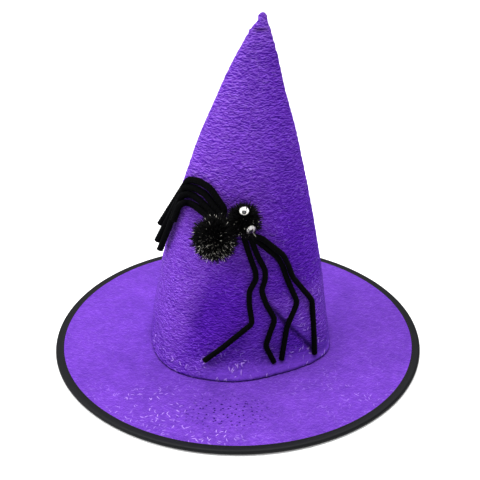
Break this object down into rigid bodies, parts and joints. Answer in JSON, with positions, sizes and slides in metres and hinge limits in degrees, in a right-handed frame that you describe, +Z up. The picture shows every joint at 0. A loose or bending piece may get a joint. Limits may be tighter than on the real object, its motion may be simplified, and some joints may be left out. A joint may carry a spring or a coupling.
{
  "type": "witch hat",
  "caption": "Soft felt witch hat with a tall slumped cone crown, a wide bound brim and a tinsel pompom spider with pipe-cleaner legs on its front.",
  "frame": {"origin": "centre of the brim's outer edge, on the surface that the brim rests on", "axes": "+Z up along the crown, -Y towards the spider on the crown's front, +X to the wearer's left"},
  "size_m": [0.38, 0.38, 0.338],
  "materials": {
    "crown_felt": "crinkled felt with a slight sheen",
    "brim_felt": "smooth felt with scattered crinkles",
    "interlining": "non-woven stiffener",
    "lining": "plain felt",
    "bias_tape": "satin weave",
    "spring_wire": "drawn",
    "ribbon": "grosgrain",
    "hot_glue": "translucent satin",
    "tinsel": "black film fringe with silver glints",
    "chenille": "short pile",
    "eye_white": "gloss",
    "eye_clear": "clear",
    "eye_black": "gloss"
  },
  "bodies": {
    "hat": {"crown_felt": "crown_felt", "brim_felt": "brim_felt", "brim_interlining": "interlining", "brim_lining": "lining", "brim_binding": "bias_tape", "brim_hoop": "spring_wire", "sweatband": "ribbon", "body_glue": "hot_glue", "head_glue": "hot_glue", "spider_body": "tinsel", "spider_head": "tinsel", "leg_twist": "chenille", "eye_back_1": "eye_white", "eye_back_2": "eye_white", "eye_dome_1": "eye_clear", "eye_dome_2": "eye_clear"},
    "left_leg_1": {"left_leg_1": "chenille"},
    "left_leg_2": {"left_leg_2": "chenille"},
    "left_leg_3": {"left_leg_3": "chenille"},
    "left_leg_4": {"left_leg_4": "chenille"},
    "right_leg_1": {"right_leg_1": "chenille"},
    "right_leg_2": {"right_leg_2": "chenille"},
    "right_leg_3": {"right_leg_3": "chenille"},
    "right_leg_4": {"right_leg_4": "chenille"},
    "pupil_1": {"eye_pupil_1": "eye_black"},
    "pupil_2": {"eye_pupil_2": "eye_black"}
  },
  "joints": [
    {"name": "left_leg_1_bend", "type": "hinge", "parent": "hat", "child": "left_leg_1", "pos_m": [-0.012, -0.038, 0.164], "axis": [0.774, 0.568, 0.28], "range_deg": [0, 60]},
    {"name": "left_leg_2_bend", "type": "hinge", "parent": "hat", "child": "left_leg_2", "pos_m": [-0.017, -0.0385, 0.161], "axis": [0.7949, 0.423, 0.435], "range_deg": [0, 60]},
    {"name": "left_leg_3_bend", "type": "hinge", "parent": "hat", "child": "left_leg_3", "pos_m": [-0.022, -0.0385, 0.1585], "axis": [0.7083, 0.2841, 0.6462], "range_deg": [0, 60]},
    {"name": "left_leg_4_bend", "type": "hinge", "parent": "hat", "child": "left_leg_4", "pos_m": [-0.027, -0.0385, 0.156], "axis": [0.5649, 0.147, 0.8119], "range_deg": [0, 60]},
    {"name": "right_leg_1_bend", "type": "hinge", "parent": "hat", "child": "right_leg_1", "pos_m": [0.006, -0.0464, 0.1378], "axis": [-0.9442, 0.086, -0.3181], "range_deg": [0, 60]},
    {"name": "right_leg_2_bend", "type": "hinge", "parent": "hat", "child": "right_leg_2", "pos_m": [0.012, -0.046, 0.138], "axis": [-0.9222, 0.022, -0.3861], "range_deg": [0, 60]},
    {"name": "right_leg_3_bend", "type": "hinge", "parent": "hat", "child": "right_leg_3", "pos_m": [0.019, -0.0455, 0.134], "axis": [-0.5841, 0.2131, -0.7832], "range_deg": [0, 60]},
    {"name": "right_leg_4_bend", "type": "hinge", "parent": "hat", "child": "right_leg_4", "pos_m": [0.0225, -0.0475, 0.139], "axis": [-0.6259, -0.3379, -0.7029], "range_deg": [0, 60]},
    {"name": "pupil_1_roll", "type": "hinge", "parent": "hat", "child": "pupil_1", "pos_m": [0.006, -0.05663, 0.1714], "axis": [0, -0.4983, 0.867], "continuous": true},
    {"name": "pupil_2_roll", "type": "hinge", "parent": "hat", "child": "pupil_2", "pos_m": [0.01227, -0.06176, 0.15515], "axis": [0.4387, -0.8574, -0.2692], "continuous": true}
  ]
}
